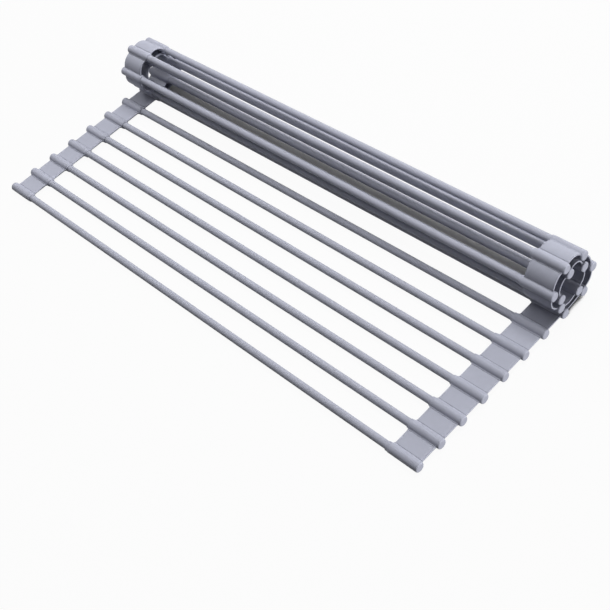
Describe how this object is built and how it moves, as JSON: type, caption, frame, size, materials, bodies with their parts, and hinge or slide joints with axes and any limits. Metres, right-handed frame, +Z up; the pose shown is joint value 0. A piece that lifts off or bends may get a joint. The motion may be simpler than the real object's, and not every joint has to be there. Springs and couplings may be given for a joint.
{
  "type": "roll up dish drying rack",
  "caption": "Roll up dish drying rack: coated steel rods held side by side by two flexible silicone strips, with its far end rolled into a spiral.",
  "frame": {"origin": "on the surface the rack stands on, under the middle of its outline", "axes": "+X along the rods, +Y along the strips towards the rolled end, +Z up"},
  "size_m": [0.419, 0.1682, 0.0434],
  "materials": {
    "rod_steel": "drawn steel tube, hidden in its coat",
    "rod_silicone": "matte grey silicone coat",
    "strip_silicone": "matte grey moulded silicone"
  },
  "bodies": {
    "link_01": {"rod_core_01": "rod_steel", "rod_coat_01": "rod_silicone", "strip_link_01": "strip_silicone"},
    "link_02": {"rod_core_02": "rod_steel", "rod_coat_02": "rod_silicone", "strip_link_02": "strip_silicone"},
    "link_03": {"rod_core_03": "rod_steel", "rod_coat_03": "rod_silicone", "strip_link_03": "strip_silicone"},
    "link_04": {"rod_core_04": "rod_steel", "rod_coat_04": "rod_silicone", "strip_link_04": "strip_silicone"},
    "link_05": {"rod_core_05": "rod_steel", "rod_coat_05": "rod_silicone", "strip_link_05": "strip_silicone"},
    "link_06": {"rod_core_06": "rod_steel", "rod_coat_06": "rod_silicone", "strip_link_06": "strip_silicone"},
    "link_07": {"rod_core_07": "rod_steel", "rod_coat_07": "rod_silicone", "strip_link_07": "strip_silicone"},
    "link_08": {"rod_core_08": "rod_steel", "rod_coat_08": "rod_silicone", "strip_link_08": "strip_silicone"},
    "link_09": {"rod_core_09": "rod_steel", "rod_coat_09": "rod_silicone", "strip_link_09": "strip_silicone"},
    "link_10": {"rod_core_10": "rod_steel", "rod_coat_10": "rod_silicone", "strip_link_10": "strip_silicone"},
    "link_11": {"rod_core_11": "rod_steel", "rod_coat_11": "rod_silicone", "strip_link_11": "strip_silicone"},
    "link_12": {"rod_core_12": "rod_steel", "rod_coat_12": "rod_silicone", "strip_link_12": "strip_silicone"},
    "link_13": {"rod_core_13": "rod_steel", "rod_coat_13": "rod_silicone", "strip_link_13": "strip_silicone"},
    "link_14": {"rod_core_14": "rod_steel", "rod_coat_14": "rod_silicone", "strip_link_14": "strip_silicone"},
    "link_15": {"rod_core_15": "rod_steel", "rod_coat_15": "rod_silicone", "strip_link_15": "strip_silicone"},
    "link_16": {"rod_core_16": "rod_steel", "rod_coat_16": "rod_silicone", "strip_link_16": "strip_silicone"},
    "link_17": {"rod_core_17": "rod_steel", "rod_coat_17": "rod_silicone", "strip_link_17": "strip_silicone"},
    "link_18": {"rod_core_18": "rod_steel", "rod_coat_18": "rod_silicone", "strip_link_18": "strip_silicone"}
  },
  "joints": [
    {"name": "unroll_09", "type": "hinge", "parent": "link_08", "child": "link_09", "pos_m": [0, 0.06198, 0.00356], "axis": [-1, 0, 0], "range_deg": [0, 16]},
    {"name": "unroll_10", "type": "hinge", "parent": "link_09", "child": "link_10", "pos_m": [0, 0.08, 0.00979], "axis": [-1, 0, 0], "range_deg": [0, 77]},
    {"name": "unroll_11", "type": "hinge", "parent": "link_10", "child": "link_11", "pos_m": [0, 0.0796, 0.02882], "axis": [-1, 0, 0], "range_deg": [0, 42]},
    {"name": "unroll_12", "type": "hinge", "parent": "link_11", "child": "link_12", "pos_m": [0, 0.06589, 0.04204], "axis": [-1, 0, 0], "range_deg": [0, 63]},
    {"name": "unroll_13", "type": "hinge", "parent": "link_12", "child": "link_13", "pos_m": [0, 0.04774, 0.0363], "axis": [-1, 0, 0], "range_deg": [0, 54]},
    {"name": "unroll_14", "type": "hinge", "parent": "link_13", "child": "link_14", "pos_m": [0, 0.04219, 0.01809], "axis": [-1, 0, 0], "range_deg": [0, 74]},
    {"name": "unroll_15", "type": "hinge", "parent": "link_14", "child": "link_15", "pos_m": [0, 0.05787, 0.0073], "axis": [-1, 0, 0], "range_deg": [0, 64]},
    {"name": "unroll_16", "type": "hinge", "parent": "link_15", "child": "link_16", "pos_m": [0, 0.07426, 0.01698], "axis": [-1, 0, 0], "range_deg": [0, 75]},
    {"name": "unroll_17", "type": "hinge", "parent": "link_16", "child": "link_17", "pos_m": [0, 0.06893, 0.03526], "axis": [-1, 0, 0], "range_deg": [0, 98]},
    {"name": "unroll_18", "type": "hinge", "parent": "link_17", "child": "link_18", "pos_m": [0, 0.0512, 0.02832], "axis": [-1, 0, 0], "range_deg": [0, 68]},
    {"name": "roll_up_07", "type": "hinge", "parent": "link_08", "child": "link_07", "pos_m": [0, 0.04295, 0.00433], "axis": [-1, 0, 0], "range_deg": [0, 63]},
    {"name": "roll_up_06", "type": "hinge", "parent": "link_07", "child": "link_06", "pos_m": [0, 0.02391, 0.00407], "axis": [-1, 0, 0], "range_deg": [0, 47]},
    {"name": "roll_up_05", "type": "hinge", "parent": "link_06", "child": "link_05", "pos_m": [0, 0.00488, 0.0039], "axis": [-1, 0, 0], "range_deg": [0, 37]},
    {"name": "roll_up_04", "type": "hinge", "parent": "link_05", "child": "link_04", "pos_m": [0, -0.01416, 0.00387], "axis": [-1, 0, 0], "range_deg": [0, 35]},
    {"name": "roll_up_03", "type": "hinge", "parent": "link_04", "child": "link_03", "pos_m": [0, -0.03319, 0.0039], "axis": [-1, 0, 0], "range_deg": [0, 37]},
    {"name": "roll_up_02", "type": "hinge", "parent": "link_03", "child": "link_02", "pos_m": [0, -0.05223, 0.00385], "axis": [-1, 0, 0], "range_deg": [0, 34]},
    {"name": "roll_up_01", "type": "hinge", "parent": "link_02", "child": "link_01", "pos_m": [0, -0.07126, 0.00364], "axis": [-1, 0, 0], "range_deg": [0, 21]}
  ],
  "couplings": [
    {"joint": "unroll_09", "follows": "unroll_10", "ratio": 0.20779},
    {"joint": "unroll_11", "follows": "unroll_10", "ratio": 0.54545},
    {"joint": "unroll_12", "follows": "unroll_10", "ratio": 0.81818},
    {"joint": "unroll_13", "follows": "unroll_10", "ratio": 0.7013},
    {"joint": "unroll_14", "follows": "unroll_10", "ratio": 0.96104},
    {"joint": "unroll_15", "follows": "unroll_10", "ratio": 0.83117},
    {"joint": "unroll_16", "follows": "unroll_10", "ratio": 0.97403},
    {"joint": "unroll_17", "follows": "unroll_10", "ratio": 1.2727},
    {"joint": "unroll_18", "follows": "unroll_10", "ratio": 0.88312},
    {"joint": "roll_up_06", "follows": "roll_up_07", "ratio": 0.74603},
    {"joint": "roll_up_05", "follows": "roll_up_07", "ratio": 0.5873},
    {"joint": "roll_up_04", "follows": "roll_up_07", "ratio": 0.55556},
    {"joint": "roll_up_03", "follows": "roll_up_07", "ratio": 0.5873},
    {"joint": "roll_up_02", "follows": "roll_up_07", "ratio": 0.53968},
    {"joint": "roll_up_01", "follows": "roll_up_07", "ratio": 0.33333}
  ]
}
